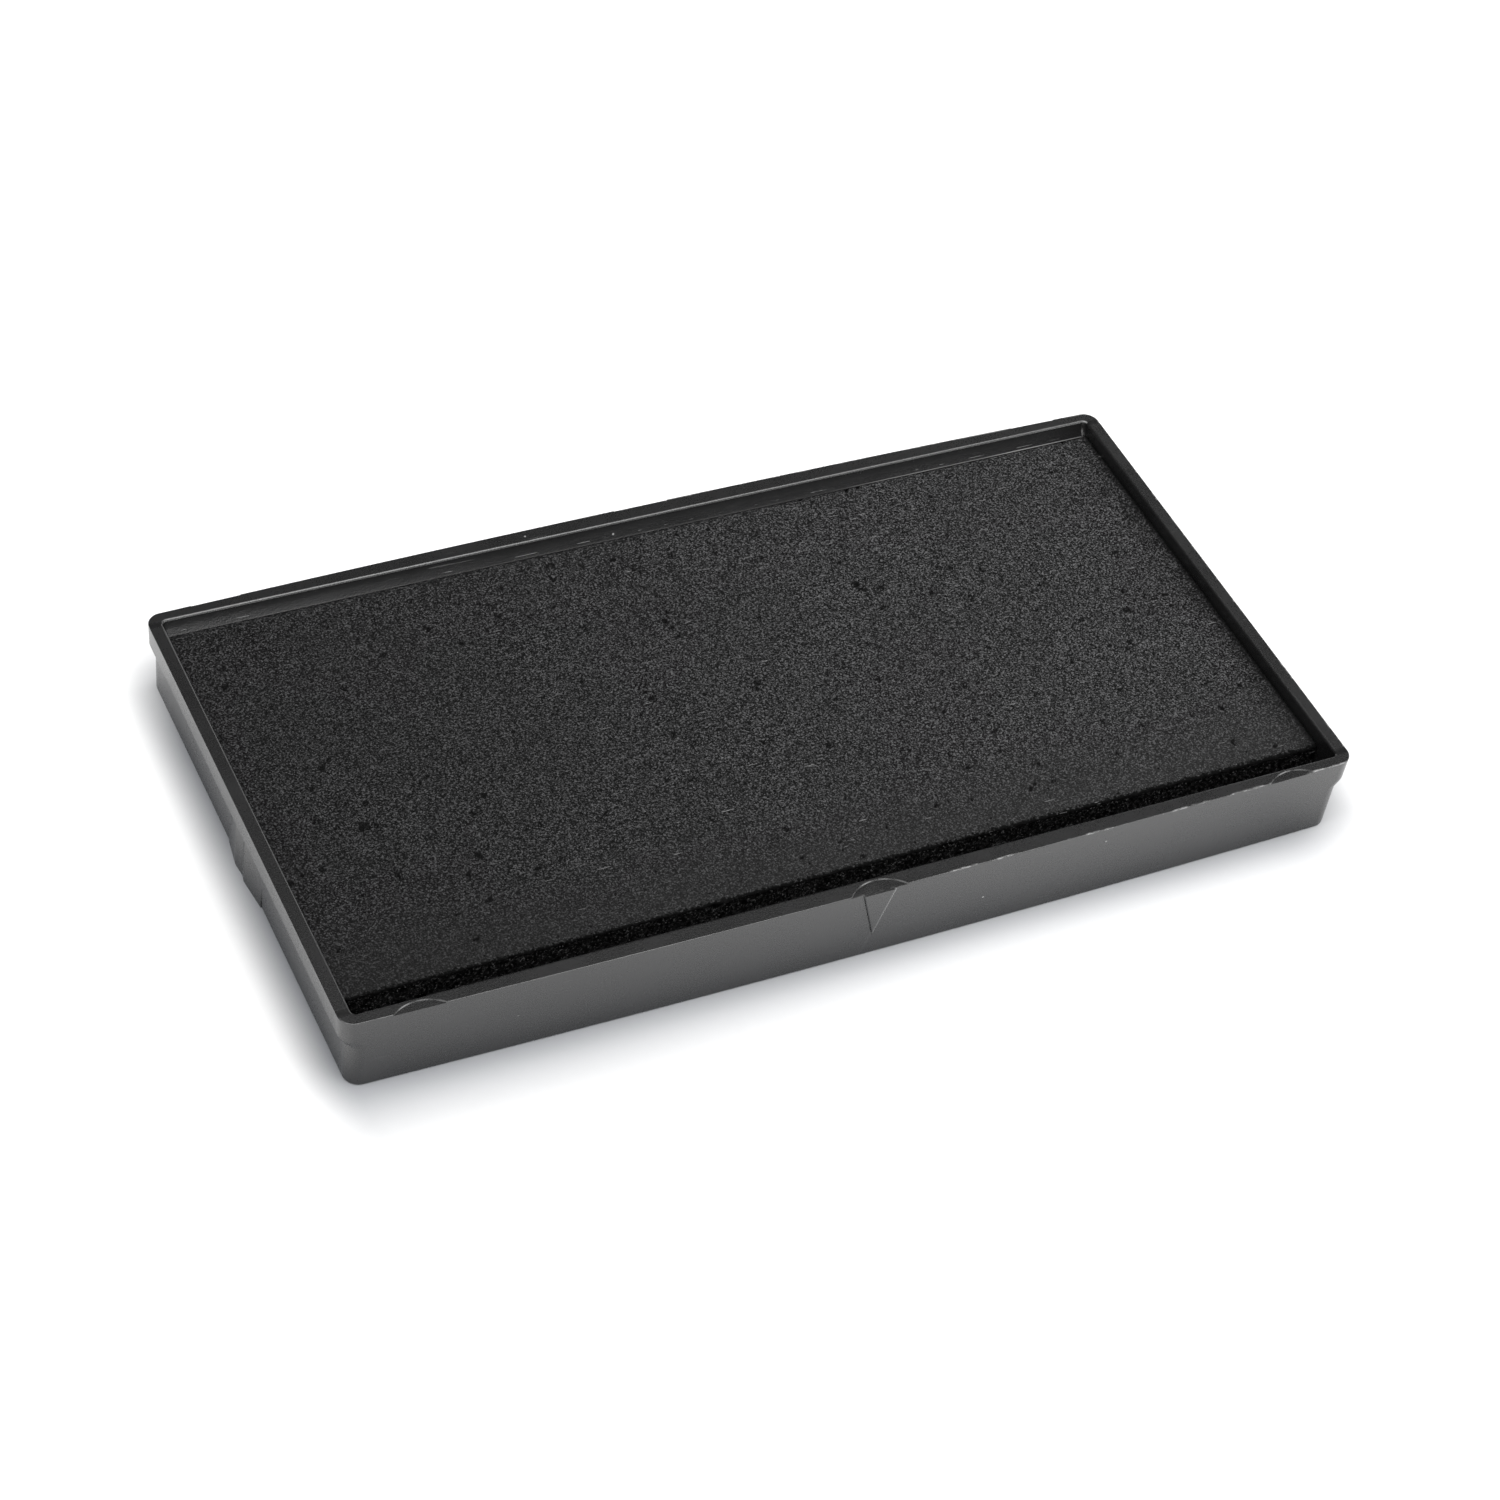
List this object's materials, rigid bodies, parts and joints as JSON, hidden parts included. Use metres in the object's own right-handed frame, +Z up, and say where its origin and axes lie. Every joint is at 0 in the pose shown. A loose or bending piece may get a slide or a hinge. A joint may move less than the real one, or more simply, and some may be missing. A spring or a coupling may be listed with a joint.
{
  "type": "ink pad",
  "caption": "Replacement ink pad for a self-inking stamp: shallow moulded tray with side guide flanges, holding an ink-soaked foam pad.",
  "frame": {"origin": "centre of the tray's underside, on the surface that the pad lies on", "axes": "+X along the long side, -Y towards the long side with the arrow, +Z up out of the printing face"},
  "size_m": [0.0794, 0.0424, 0.0066],
  "materials": {
    "tray_plastic": "black injection-moulded styrene, satin, with fine scratches and light nicks along the rim",
    "inked_foam": "fine open-pored foam soaked in black ink, dry-looking on top, dark and glistening on the cut face",
    "inked_felt": "dense needled felt soaked in black ink",
    "adhesive": "thin double-sided mounting film, stained by ink"
  },
  "bodies": {
    "root": {"tray": "tray_plastic", "inking_foam": "inked_foam", "reservoir_felt": "inked_felt", "adhesive_film": "adhesive"}
  },
  "joints": []
}
